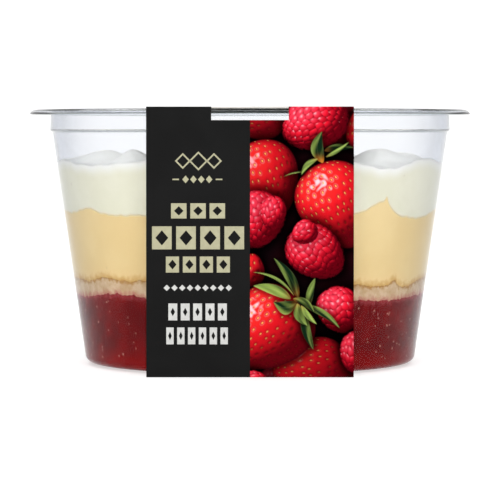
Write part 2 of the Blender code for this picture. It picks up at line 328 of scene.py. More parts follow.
def makePot():
    # One sheet turned round the axis: up the inside from the floor, round the lip, down the outside
    sheet = pot["sheet"]
    outside = roundedPath(potCorners)
    inside = roundedPath(offsetCorners(potCorners, sheet))[::-1]
    middle = (outside[0] + inside[-1]) / 2
    beyond = unit(outside[0] - outside[1]) * sheet / 2
    bend = np.linspace(0, math.pi, 7)[1:-1, None]
    lip = middle + (inside[-1] - middle) * np.cos(bend) + beyond * np.sin(bend)
    profile = np.vstack([inside, lip, outside])
    radius = np.repeat(profile[:, :1], pot["sectors"], 1)
    height = np.repeat(profile[:, 1:], pot["sectors"], 1) + foot
    base = potCorners[-1][1] + foot
    piece = turnedPiece("clearPot", radius, height, (base + sheet, base))
    material, tree, shader = newMaterial(
        "clearPlastic", pot["tint"], pot["roughness"], Transmission_Weight=1.0, IOR=pot["index"],
        Specular_Tint=(0.3, 0.3, 0.3, 1))
    place = placeOn(tree)
    drawn = addNode(tree, "ShaderNodeMapping", {"Vector": place, "Scale": (1, 1, 0.22)})
    flow = noiseOver(tree, drawn.outputs["Vector"], 60.0)
    level = addNode(tree, "ShaderNodeSeparateXYZ", {"Vector": place}).outputs["Z"]
    wall = remap(tree, level, pot["marksEnd"] - 4 * mm, pot["marksEnd"], 1.0, 0.0)   # draw marks' mask
    addBump(tree, shader, workOut(tree, "MULTIPLY", flow, wall), 0.25, 0.4 * mm)
    facing = addNode(tree, "ShaderNodeLayerWeight", {"Blend": 0.5}).outputs["Facing"]
    tint = mixColours(tree, remap(tree, facing, 0.3, 1.0), pot["tint"], pot["glancingTint"])
    # painted shade: the lip's edges and the ledge's bends are darkened towards the edge shade colour
    tint = mixColours(tree, edgeShadeMask(tree, place, level), tint, pot["paintedEdgeShade"])
    tree.links.new(tint, shader.inputs["Base Color"])
    piece.data.materials.append(material)
    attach(piece, "root")
    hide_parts("pot")
    print("pot made:", len(piece.data.polygons), "faces")


makePot()


# ---- film lid

film = {
    "radius": 66.2 * mm,
    "thickness": 0.05 * mm,
    "seat": 77.87 * mm,              # height of its underside above the pot's foot
    "sealInner": 62.6 * mm,          # the sealed ring runs from here to the edge
    "slack": 0.02 * mm,              # how far the film waves inside the seal
    "tint": tone(252, 253, 255),
    "roughness": 0.04,
    "index": 1.2,
    "rings": 60,
    "sectors": 180,
}


def makeFilm():
    # A thin disc: its height is a sum of three crossed waves, fading to nothing at the sealed ring
    shares = np.linspace(0, 1, film["rings"] + 1)[1:, None]
    angle = np.linspace(0, math.tau, film["sectors"], endpoint=False)[None]
    x = film["radius"] * shares * np.sin(angle)
    y = -film["radius"] * shares * np.cos(angle)
    waves = np.sin(x / (9 * mm) + 1.1) + np.sin((x + y) / (13 * mm))
    waves = waves + np.sin((y - 0.4 * x) / (7 * mm) + 2.0)
    calm = np.clip((film["sealInner"] - film["radius"] * shares) / (8 * mm), 0, 1)
    top = foot + film["seat"] + film["thickness"] + film["slack"] * waves / 3 * calm
    radius = film["radius"] * shares + 0 * angle
    low = top - film["thickness"]
    piece = turnedPiece("filmLid", np.vstack([radius, radius[::-1]]), np.vstack([top, low[::-1]]),
                        (top[0].mean(), low[0].mean()))
    material, tree, shader = newMaterial("clearFilm", film["tint"], film["roughness"],
                                         Transmission_Weight=1.0, IOR=film["index"])
    crease = addNode(tree, "ShaderNodeTexNoise", {"Vector": placeOn(tree), "Scale": 45.0, "Detail": 3.0,
                                                  "Distortion": 1.5})
    addBump(tree, shader, crease.outputs["Fac"], 0.2, 0.5 * mm)
    piece.data.materials.append(material)
    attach(piece, "root")
    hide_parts("film_lid")
    print("film lid made")


makeFilm()


# ---- food

food = {
    "reach": 0.3 * mm,               # how deep the food's side lies inside the wall
    "sectors": 720,
}

# Each edge against the wall: a mean level above the foot, bells (angle, width before, width after,
# height), angles in degrees from the front towards +X, and ripples of a height and a range of counts
edges = {
    "cream": {"level": 61.9 * mm, "ripple": 0.16 * mm, "counts": (14, 60), "bells": [
        (-70, 6, 4, 1.1 * mm), (-53, 8, 8, -0.7 * mm), (-8, 18, 16, 1.4 * mm), (30, 4, 3.5, 0.8 * mm),
        (43, 6, 5, -1.9 * mm), (62, 6, 7, 1.3 * mm), (120, 18, 16, -1.3 * mm), (170, 14, 16, 1.7 * mm),
        (225, 16, 14, -1.2 * mm)]},
    "custard": {"level": 46.4 * mm, "ripple": 0.1 * mm, "counts": (20, 110), "bells": [
        (-84, 8, 8, 0.9 * mm), (-57, 6, 4.5, 1.9 * mm), (0, 18, 16, 1.5 * mm), (43, 5.2, 3.4, 4.2 * mm),
        (44.2, 0.5, 0.5, 1.7 * mm), (62, 7, 6, -1.1 * mm), (80, 6, 8, 0.9 * mm), (112, 14, 12, 2.0 * mm),
        (158, 16, 16, -1.2 * mm), (200, 11, 9, 2.9 * mm), (245, 13, 13, -0.8 * mm)]},
    "sponge": {"level": 26.6 * mm, "ripple": 0.11 * mm, "counts": (40, 240), "bells": [
        (-63, 3, 3, -0.5 * mm), (-53, 4, 6, 1.1 * mm), (-36, 2, 2, 0.8 * mm), (44, 6, 7, -1.3 * mm),
        (52.4, 1.6, 1.2, 1.3 * mm), (59, 4, 6, -1.9 * mm), (105, 14, 12, 0.7 * mm),
        (150, 12, 14, -1.0 * mm), (195, 15, 12, 1.1 * mm), (240, 10, 12, -0.8 * mm)]},
    "compote": {"level": 21.8 * mm, "ripple": 0.16 * mm, "counts": (36, 240), "bells": [
        (-70, 6, 6, -0.6 * mm), (-48, 7, 6, 1.1 * mm), (-40, 2, 3, 0.5 * mm), (50, 10, 12, -0.9 * mm),
        (100, 12, 14, 0.6 * mm), (150, 16, 14, -0.9 * mm), (205, 13, 13, 1.0 * mm),
        (250, 12, 10, -0.5 * mm)]},
}

# Spooned mounds of the cream: (x, y, half width, height)
mounds = np.array([
    (-45, -20, 6.0, 3.4), (-35, -31, 4.4, 4.2), (-52, -4, 5.0, 2.4), (38, -24, 5.5, 3.6),
    (47, -14, 5.0, 3.2), (46, 8, 8.0, 2.2), (12, -38, 9.0, 4.4), (-12, -40, 7.0, 3.8),
    (-6, -12, 10.0, 4.2), (18, 12, 10.0, 3.4), (-22, 18, 9.0, 3.2), (-44, 12, 7.0, 2.0),
    (4, 42, 9.0, 2.6), (34, 34, 7.0, 2.2), (-30, 42, 6.0, 1.8)]) * mm


def foodRadius(height):
    # Radius of the food's side: the wall's outer radius less the reach, measured square to the wall
    return wallRadius(height) - food["reach"] * math.hypot(1, pot["draft"])


def edgeLevels(name):
    # Level + sum of two-sided bells + a sum of sines whose whole counts close round the pot
    edge = edges[name]
    angle = np.degrees(np.linspace(0, math.tau, food["sectors"], endpoint=False))
    centre, before, after, height = np.array(edge["bells"]).T
    away = (angle[:, None] - centre + 180) % 360 - 180
    width = np.where(away < 0, before, after)
    bells = (height * np.exp(-0.5 * (away / width) ** 2)).sum(1)
    counts = np.arange(*edge["counts"])
    phase = rng.uniform(0, math.tau, len(counts))
    size = rng.normal(0, 1, len(counts)) * (counts[0] / counts) ** 0.5
    ripples = (size * np.sin(np.radians(angle)[:, None] * counts + phase)).sum(1)
    return edge["level"] + bells + edge["ripple"] * ripples / ripples.std()


levels = {name: edgeLevels(name) for name in edges}


def surfaceRings(name, rings):
    # Rings from near the axis out to the wall: the edge's swell fades with the square of the way in
    level, edge = edges[name]["level"], levels[name]
    shares = (np.arange(rings) + 1)[:, None] / rings
    height = level + (edge - level) * shares ** 2
    return shares * foodRadius(edge), height


def creamTop(rings):
    # The edge's swell, the mounds as bells, and ridges where the spoon left the cream
    radius, height = surfaceRings("cream", rings)
    shares = (np.arange(rings) + 1)[:, None] / rings
    angle = np.linspace(0, math.tau, food["sectors"], endpoint=False)
    x, y = radius * np.sin(angle), -radius * np.cos(angle)
    inside = 1 - shares ** 10
    for moundX, moundY, width, rise in mounds:
        away = np.hypot(x - moundX, (y - moundY) * 1.15) / width
        height = height + rise * np.exp(-0.5 * away ** 2.4) * inside
    warpX = x + 2.5 * mm * np.sin(y / (5 * mm))
    warpY = y + 2.5 * mm * np.sin(x / (6 * mm) + 1)
    ridges = 1 - np.abs(np.sin(warpX / (4.6 * mm) + 1.7 * np.sin(warpY / (7 * mm))))
    fine = np.sin(warpX / (1.9 * mm)) * np.sin(warpY / (2.3 * mm))
    return radius, height + (0.55 * mm * ridges ** 2 + 0.12 * mm * fine) * inside


def makeLayer(name, slot, below, top, wallRows, material):
    # A layer right through the pot: its top's rings, its side down the wall, and its underside
    topRadius, topHeight = top
    share = np.linspace(0, 1, wallRows + 1)[1:, None]
    if below:
        bottomRadius, bottomHeight = surfaceRings(below, 5)
        bottomEdge = levels[below]
        endHeight = edges[below]["level"]
    else:
        inner = offsetCorners(potCorners[4:], food["reach"])
        floor = roundedPath(inner)[1:]
        floor = floor[np.argmax(floor[:, 1] < 3 * mm):]
        bottomEdge = np.full(food["sectors"], floor[0, 1])
        bottomRadius = np.repeat(floor[:0:-1, :1], food["sectors"], 1)
        bottomHeight = np.repeat(floor[:0:-1, 1:], food["sectors"], 1)
        endHeight = floor[-1, 1]
    sideHeight = topHeight[-1] + (bottomEdge - topHeight[-1]) * share
    sideRadius = foodRadius(sideHeight)
    radius = np.vstack([topRadius, sideRadius, bottomRadius[-2::-1] if below else bottomRadius[::-1]])
    height = np.vstack([topHeight, sideHeight, bottomHeight[-2::-1] if below else bottomHeight[::-1]])
    drop = (topHeight[-1] - height) / mm
    rise = (height - bottomEdge) / mm
    drop[:len(topHeight) - 1] = 0
    piece = turnedPiece(name, radius, height + foot, (topHeight[0].mean() + foot, endHeight + foot),
                        {"drop": drop, "rise": rise})
    piece.data.materials.append(material)
    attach(piece, "root")
    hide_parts(slot)
    print(name, "made:", len(piece.data.polygons), "faces")
    return piece


mottle = makeMottle()

# Each layer's plain colour and its two mottled ones, then the colours that come through at its edges; the
# cream's whiter top colour is painted light
foodTones = {
    "cream": {"plain": tone(236, 233, 215), "first": tone(244, 242, 222), "second": tone(235, 233, 209),
              "paintedTopLight": tone(254, 254, 250), "custard": tone(247, 223, 168)},
    "custard": {"plain": tone(236, 208, 152), "first": tone(245, 220, 164), "second": tone(238, 210, 151),
                "soaked": tone(214, 168, 98), "cream": tone(242, 237, 214)},
    "sponge": {"plain": tone(205, 180, 150), "first": tone(221, 196, 162), "second": tone(200, 166, 126),
               "stained": tone(190, 112, 104), "crust": tone(188, 142, 86)},
    "compote": {"plain": tone(120, 30, 32), "first": tone(108, 8, 12), "second": tone(136, 20, 22),
                "deep": tone(84, 6, 12), "low": tone(144, 14, 14), "bleeding": tone(166, 66, 70)},
}


def mottledLook(tree, tones, scale, amount, pinholes):
    return placeGroup(tree, mottle, {"Colour": tones["first"], "Second": tones["second"], "Scale": scale,
                                     "Amount": amount, "Pinholes": pinholes}).outputs


def edgeBand(tree, side, low, high, strength, grain=None, fray=0.0):
    # A band along a layer's upper edge (drop) or lower edge (rise): it fades out between two distances
    # from the edge, in millimetres, and a grain frays it by so many millimetres each way
    away = addNode(tree, "ShaderNodeAttribute", attribute_name=side).outputs["Fac"]
    if grain:
        away = workOut(tree, "ADD", away, remap(tree, grain, 0.3, 0.7, -fray, fray))
    return remap(tree, away, low, high, strength, 0.0)


def creamMaterial():
    # Ivory, painted whiter at the top as painted light on the mounds, with custard showing through at its
    # lower edge
    tones = foodTones["cream"]
    material, tree, shader = newMaterial("whippedCream", tones["plain"], 0.5, Specular_IOR_Level=0.15)
    look = mottledLook(tree, tones, 40.0, 0.8, 0.25)
    # painted light: the cream's top and the first 4 mm below its upper edge are painted near-white
    colour = mixColours(tree, edgeBand(tree, "drop", -0.5, 4.0, 1.0), look["Colour"], tones["paintedTopLight"])
    colour = mixColours(tree, edgeBand(tree, "rise", -0.1, 0.6, 0.5), colour, tones["custard"])
    tree.links.new(colour, shader.inputs["Base Color"])
    addBump(tree, shader, look["Height"], 0.3, 0.3 * mm)
    return material


def custardMaterial():
    # Pale yellow, darker where the sponge has soaked it, with cream showing through at its upper edge
    tones = foodTones["custard"]
    material, tree, shader = newMaterial("custard", tones["plain"], 0.4, Specular_IOR_Level=0.05)
    look = mottledLook(tree, tones, 35.0, 0.8, 0.25)
    grain = noiseOver(tree, placeOn(tree), 700.0, 4.0)
    soaked = edgeBand(tree, "rise", -0.4, 2.4, 0.9, grain, 0.5)
    colour = mixColours(tree, soaked, look["Colour"], tones["soaked"])
    colour = mixColours(tree, edgeBand(tree, "drop", -0.1, 0.6, 0.5), colour, tones["cream"])
    tree.links.new(colour, shader.inputs["Base Color"])
    return material


def spongeMaterial():
    # Pale crumb, browned along its upper edge and stained pink from below
    tones = foodTones["sponge"]
    material, tree, shader = newMaterial("sponge", tones["plain"], 0.85, Specular_IOR_Level=0.05)
    look = mottledLook(tree, tones, 260.0, 0.9, 0.4)
    crumb = noiseOver(tree, placeOn(tree), 700.0, 4.0)
    stained = edgeBand(tree, "rise", -0.6, 2.0, 0.9, crumb, 0.5)
    colour = mixColours(tree, stained, look["Colour"], tones["stained"])
    crust = edgeBand(tree, "drop", -0.1, 1.3, 1.0, crumb, 0.5)
    colour = mixColours(tree, crust, colour, tones["crust"])
    tree.links.new(colour, shader.inputs["Base Color"])
    addBump(tree, shader, crumb, 0.5, 0.4 * mm)
    return material


def compoteMaterial():
    # Deep red pulp with darker cells, brighter near the floor, bleeding into the sponge above it
    tones = foodTones["compote"]
    material, tree, shader = newMaterial("berryCompote", tones["plain"], 0.3, Specular_IOR_Level=0.05)
    look = mottledLook(tree, tones, 210.0, 0.9, 0.0)
    place = placeOn(tree)
    pulp = addNode(tree, "ShaderNodeTexVoronoi", {"Vector": place, "Scale": 240.0}, feature="SMOOTH_F1")
    deep = remap(tree, pulp.outputs["Distance"], 0.1, 0.7, 0.0, 0.4)
    colour = mixColours(tree, deep, look["Colour"], tones["deep"])
    colour = mixColours(tree, edgeBand(tree, "rise", 0.0, 6.0, 0.65), colour, tones["low"])
    fibre = noiseOver(tree, place, 700.0, 4.0)
    bleeding = edgeBand(tree, "drop", -0.5, 2.0, 0.85, fibre, 0.6)
    colour = mixColours(tree, bleeding, colour, tones["bleeding"])
    tree.links.new(colour, shader.inputs["Base Color"])
    addBump(tree, shader, look["Height"], 0.15, 0.3 * mm)
    return material


makeLayer("creamLayer", "cream", "custard", creamTop(90), 30, creamMaterial())
makeLayer("custardLayer", "custard", "sponge", surfaceRings("custard", 5), 40, custardMaterial())
makeLayer("spongeLayer", "sponge", "compote", surfaceRings("sponge", 5), 16, spongeMaterial())
makeLayer("compoteLayer", "compote", None, surfaceRings("compote", 5), 44, compoteMaterial())


# ---- berry seeds against the wall

seeds = {
    "count": 260,
    "size": (0.38 * mm, 0.3 * mm, 0.2 * mm),   # half length, half width, half thickness
    "low": 2.6 * mm,
    "headroom": 1.2 * mm,            # kept clear under the compote's edge
    "first": tone(186, 118, 100),
    "second": tone(146, 62, 56),
}


def seedShape(rings, sectors):
    # A unit ball, pulled to a point at one end like a pip
    tilt = np.linspace(0, math.pi, rings + 2)[1:-1, None]
    turn = np.linspace(0, math.tau, sectors, endpoint=False)
    along = np.cos(tilt) + 0 * turn
    girth = np.sin(tilt) * (1 - 0.3 * np.cos(tilt))
    body = np.stack([along, girth * np.cos(turn), girth * np.sin(turn)], -1).reshape(-1, 3)
    points = np.vstack([body, [[1, 0, 0], [-1, 0, 0]]])
    j = np.arange(sectors)
    k = (j + 1) % sectors
    last = (rings - 1) * sectors
    faces = gridQuads(rings, sectors, wrap=True).tolist()
    faces += np.stack([np.full(sectors, len(body)), j, k], 1).tolist()
    faces += np.stack([last + j, np.full(sectors, len(body) + 1), last + k], 1).tolist()
    return points, faces


def makeSeeds():
    # Each pip is the one shape, sized, turned in the wall's plane, and set half into the compote's side
    shape, faces = seedShape(3, 6)
    count = seeds["count"]
    angle = rng.uniform(0, math.tau, count)
    edge = np.interp(angle, np.linspace(0, math.tau, food["sectors"], endpoint=False), levels["compote"])
    height = seeds["low"] + rng.uniform(0, 1, count) * (edge - seeds["low"] - seeds["headroom"])
    radius = foodRadius(height)
    out = np.stack([np.sin(angle), -np.cos(angle), np.full(count, -pot["draft"])], 1)
    out /= np.linalg.norm(out, axis=1, keepdims=True)
    side = np.stack([np.cos(angle), np.sin(angle), 0 * angle], 1)
    up = np.cross(side, out)
    spin = rng.uniform(0, math.pi, count)[:, None]
    along = side * np.cos(spin) + up * np.sin(spin)
    across = np.cross(out, along)
    size = rng.uniform(0.75, 1.15, count)[:, None, None]
    length, width, depth = seeds["size"]
    local = shape[None] * np.array((length, width, depth)) * size
    axes = np.stack([along, across, out], 1)
    centre = np.stack([radius * np.sin(angle), -radius * np.cos(angle), height + foot], 1)
    points = centre[:, None] + np.einsum("nkc,ncd->nkd", local, axes)
    allFaces = [[corner + n * len(shape) for corner in face] for n in range(count) for face in faces]
    piece = addPiece("berrySeeds", points.reshape(-1, 3), allFaces)
    material, tree, shader = newMaterial("berrySeed", seeds["first"], 0.4)
    look = mottledLook(tree, seeds, 300.0, 1.0, 0.0)
    tree.links.new(look["Colour"], shader.inputs["Base Color"])
    piece.data.materials.append(material)
    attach(piece, "root")
    print("seeds made:", count)


makeSeeds()


# ---- card sleeve

sleeve = {
    "card": 0.4 * mm,
    "topWidth": 59.35 * mm,
    "bottomWidth": 60.75 * mm,
    "printWidth": 60.0 * mm,         # the width that print places are given in
    "bottomFold": 51.05 * mm,        # outer fold lines, from the pot's axis
    "lean": 0.2148,                  # outward run of the panel for each unit of height
    "top": 79.06 * mm,
    "foldRadius": 0.8 * mm,
    "slotHalf": 11.2 * mm,           # half the front slot's width
    "backSlotHalf": 13.4 * mm,
    "slotDrop": 3.88 * mm,           # below the top fold
    "slotReach": 4.3 * mm,           # into the top panel
    "black": (tone(25, 25, 25), tone(27, 27, 27)),
    "board": (tone(214, 210, 200), tone(230, 228, 222)),
}


def bandPath():
    # The band's outer line as (y, z): bottom centre, front fold, up the front, over, down the back
    top = sleeve["top"]
    topFold = sleeve["bottomFold"] + sleeve["lean"] * top
    radius = sleeve["foldRadius"]
    corners = [(0, 0, 0), (-sleeve["bottomFold"], 0, radius), (-topFold, top, radius),
               (topFold, top, radius), (sleeve["bottomFold"], 0, radius), (0, 0, 0)]
    path = roundedPath(corners, step=8)
    run = np.diff(path, axis=0)
    along = np.append(0, np.cumsum(np.linalg.norm(run, axis=1)))
    run /= np.linalg.norm(run, axis=1, keepdims=True)
    outward = np.stack([-run[:, 1], run[:, 0]], 1)
    outward = (np.vstack([outward[-1:], outward]) + np.vstack([outward, outward[:1]])) / 2
    outward /= np.linalg.norm(outward, axis=1, keepdims=True)
    return path, along, outward


band, bandAlong, bandOut = bandPath()
panelSlope = math.hypot(1, sleeve["lean"])   # panel length for each unit of height
frontStart = sleeve["bottomFold"]            # way along the band to the front's bottom fold
topLength = 2 * (sleeve["bottomFold"] + sleeve["lean"] * sleeve["top"])


def bandPoints(across, along, lift):
    # A place on the card: across it, along the band, and lifted off its outer face
    y = np.interp(along, bandAlong, band[:, 0]) + lift * np.interp(along, bandAlong, bandOut[:, 0])
    z = np.interp(along, bandAlong, band[:, 1]) + lift * np.interp(along, bandAlong, bandOut[:, 1])
    share = np.clip(z / sleeve["top"], 0, 1)
    width = sleeve["bottomWidth"] + (sleeve["topWidth"] - sleeve["bottomWidth"]) * share
    return np.stack([across * width / sleeve["printWidth"], y, z], -1)


def alongFront(height):
    # The way along the band to a height on the front panel
    front = (band[:, 0] < -frontStart) & (bandAlong < bandAlong[-1] / 2)
    return np.interp(height, band[front, 1], bandAlong[front])


middleAlong = bandAlong[-1] / 2
slotStart = alongFront(sleeve["top"] - sleeve["slotDrop"])
slotEnd = middleAlong - topLength / 2 + sleeve["slotReach"]


def makeCard():
    # The band as cells between lines across and along it; a cell in a slot is left out, and a wall
    # stands wherever a kept cell meets a missing one
    slot, backSlot, half = sleeve["slotHalf"], sleeve["backSlotHalf"], sleeve["printWidth"] / 2
    stops = [slotStart, slotEnd, bandAlong[-1] - slotEnd, bandAlong[-1] - slotStart]
    along = np.unique(np.round(np.concatenate([bandAlong[:-1], stops]), 7))
    across = np.array([-half, -backSlot, -slot, slot, backSlot, half])
    rows, cols = len(along), len(across)
    middle = (along + np.append(along[1:], bandAlong[-1])) / 2
    kept = np.ones((rows, cols - 1), bool)
    kept[(middle > stops[0]) & (middle < stops[1]), 2] = False
    kept[(middle > stops[2]) & (middle < stops[3]), 1:4] = False
    u, s = np.meshgrid(across, along)
    outer = bandPoints(u, s, 0).reshape(-1, 3)
    inner = bandPoints(u, s, -sleeve["card"]).reshape(-1, 3)
    count = rows * cols
    faces, board = [], []
    for i, j in np.argwhere(kept):
        n = (i + 1) % rows
        a, b, c, d = i * cols + j, n * cols + j, n * cols + j + 1, i * cols + j + 1
        faces += [(a, d, c, b), (a + count, b + count, c + count, d + count)]
        board += [0, 1]
        for lone, p, q in ((j == 0 or not kept[i, j - 1], b, a),
                           (j == cols - 2 or not kept[i, min(j + 1, cols - 2)], d, c),
                           (not kept[i - 1, j], a, d), (not kept[n, j], c, b)):
            if lone:
                faces.append((p, p + count, q + count, q))
                board.append(1)
    piece = addPiece("cardSleeve", np.vstack([outer, inner]), faces, smooth=False)
    piece.data.polygons.foreach_set("material_index", board)
    return piece


def blackPrint():
    # Near-black ink whose shade and roughness waver with the card's fibres
    material, tree, shader = newMaterial("blackPrint", sleeve["black"][0], 0.55, Specular_IOR_Level=0.0)
    place = placeOn(tree)
    fibre = noiseOver(tree, place, 900.0, 3.0)
    patch = remap(tree, noiseOver(tree, place, 60.0), 0.35, 0.65)
    tree.links.new(mixColours(tree, patch, *sleeve["black"]), shader.inputs["Base Color"])
    tree.links.new(remap(tree, fibre, 0.3, 0.7, 0.38, 0.5), shader.inputs["Roughness"])
    addBump(tree, shader, fibre, 0.08, 0.05 * mm)
    return material


def bareBoard():
    # The card's unprinted side and cut edges: off-white, mottled by its fibres
    material, tree, shader = newMaterial("bareBoard", sleeve["board"][0], 0.8)
    fibre = noiseOver(tree, placeOn(tree), 700.0, 5.0)
    tree.links.new(mixColours(tree, fibre, *sleeve["board"]), shader.inputs["Base Color"])
    addBump(tree, shader, fibre, 0.15, 0.1 * mm)
    return material


card = makeCard()
card.data.materials.append(blackPrint())
card.data.materials.append(bareBoard())
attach(card, "root")
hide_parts("sleeve")
print("card sleeve made:", len(card.data.polygons), "faces")


# ---- printed marks: rows of lozenge tiles in place of lettering

# Places are millimetres from the panel's middle and up from its bottom fold. A row of tiles is its left,
# right, low and high edges, how many tiles, the gap between them, and the openings' share of a tile
marks = {
    "thickness": 0.03 * mm,
    "goldInk": tone(167, 164, 136),
    "paleInk": tone(192, 192, 189),
    "openLozenges": [(-19.4, 2.3), (-14.9, 2.75), (-10.4, 2.3)],    # place across and half size
    "openHeight": 63.5,
    "openLine": 0.62,                # how much smaller the opening's half size is
    "dashes": [(-22.4, -20.5), (-9.9, -8.0)],
    "dashHeights": (58.0, 58.4),
    "goldRows": [(-22.8, -7.2, 46.9, 51.3, 3, 1.1, 0.62), (-28.3, -1.7, 37.9, 44.6, 4, 1.3, 0.66),
                 (-24.3, -5.8, 31.1, 35.8, 4, 1.1, 0.62)],
    "paleRows": [(-23.6, -6.7, 17.0, 22.0, 5, 1.0, 0.5), (-24.2, -6.4, 9.9, 14.9, 6, 1.0, 0.5)],
}


def rectangle(x0, x1, z0, z1):
    # Eight points round a rectangle, so that it pairs with a lozenge's eight
    x, z = (x0 + x1) / 2, (z0 + z1) / 2
    return [(x0, z0), (x, z0), (x1, z0), (x1, z), (x1, z1), (x, z1), (x0, z1), (x0, z)]


def lozenge(x, z, halfWidth, halfHeight):
    # Eight points round a lozenge: its four tips and the middles of its sides, from lower left
    w, h = halfWidth, halfHeight
    return [(x - w / 2, z - h / 2), (x, z - h), (x + w / 2, z - h / 2), (x + w, z),
            (x + w / 2, z + h / 2), (x, z + h), (x - w / 2, z + h / 2), (x - w, z)]


def tileRow(x0, x1, z0, z1, count, gap, hole):
    # A row of even tiles, each with a lozenge opening of a share of its size
    width = (x1 - x0 - gap * (count - 1)) / count
    tiles = []
    for n in range(count):
        left = x0 + n * (width + gap)
        opening = lozenge(left + width / 2, (z0 + z1) / 2, width / 2 * hole, (z1 - z0) / 2 * hole)
        tiles.append((rectangle(left, left + width, z0, z1), opening))
    return tiles


def goldShapes():
    # Three open lozenges, four small ones between two dashes, and three rows of tiles
    height, line = marks["openHeight"], marks["openLine"]
    shapes = [(lozenge(x, height, size, size), lozenge(x, height, size - line, size - line))
              for x, size in marks["openLozenges"]]
    shapes += [(rectangle(*ends, *marks["dashHeights"]), None) for ends in marks["dashes"]]
    shapes += [(lozenge(x, 58.2, 0.95, 1.1), None) for x in np.linspace(-18.6, -11.8, 4)]
    for row in marks["goldRows"]:
        shapes += tileRow(*row)
    return shapes


def paleShapes():
    # A line of nine small lozenges over two rows of narrow tiles
    shapes = [(lozenge(x, 26.6, 0.92, 0.92), None) for x in np.linspace(-24.05, -6.15, 9)]
    for row in marks["paleRows"]:
        shapes += tileRow(*row)
    return shapes


def makeMarks(name, shapes, colour):
    # Each outline, with or without its opening, is a thin closed plate on the front and on the back
    points, faces = [], []
    for side in (0, 1):
        for outline, opening in shapes:
            loops = [outline] + ([opening] if opening else [])
            for lift in (marks["thickness"], -0.5 * marks["thickness"]):
                for loop in loops:
                    across, height = np.array(loop).T * mm
                    along = alongFront(height)
                    if side:
                        along = bandAlong[-1] - along
                    points += bandPoints(across, along, lift).tolist()
            start = len(points) - 16 * len(loops)
            j = np.arange(8)
            k = (j + 1) % 8
            low = 8 * len(loops)
            made = []
            if opening:
                made += np.stack([j, k, k + 8, j + 8], 1).tolist()
                made += np.stack([j + low, j + low + 8, k + low + 8, k + low], 1).tolist()
                made += np.stack([j + 8, k + 8, k + low + 8, j + low + 8], 1).tolist()
            else:
                made += [j.tolist(), (j[::-1] + low).tolist()]
            made += np.stack([k, j, j + low, k + low], 1).tolist()
            if side:
                made = [face[::-1] for face in made]
            faces += [[corner + start for corner in face] for face in made]
    piece = addPiece(name, np.array(points), faces, smooth=False)
    material, tree, shader = newMaterial(name, colour, 0.5, Specular_IOR_Level=0.02)
    fibre = remap(tree, noiseOver(tree, placeOn(tree), 800.0, 3.0), 0.3, 0.7)
    shade = tuple(0.9 * c for c in colour)
    tree.links.new(mixColours(tree, fibre, shade, colour), shader.inputs["Base Color"])
    piece.data.materials.append(material)
    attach(piece, "root")
    print(name, "made:", len(shapes), "shapes a side")


makeMarks("goldMarks", goldShapes(), marks["goldInk"])
makeMarks("paleMarks", paleShapes(), marks["paleInk"])


# ---- printed berries, worked out as fields of shaded colour over a fine grid

berryLight = unit(np.array((-0.42, 0.5, 0.76)))    # where the printed berries' light comes from
berryGleam = unit(np.array((-0.42, 0.5, 0.8)))     # the way a surface faces where it gleams

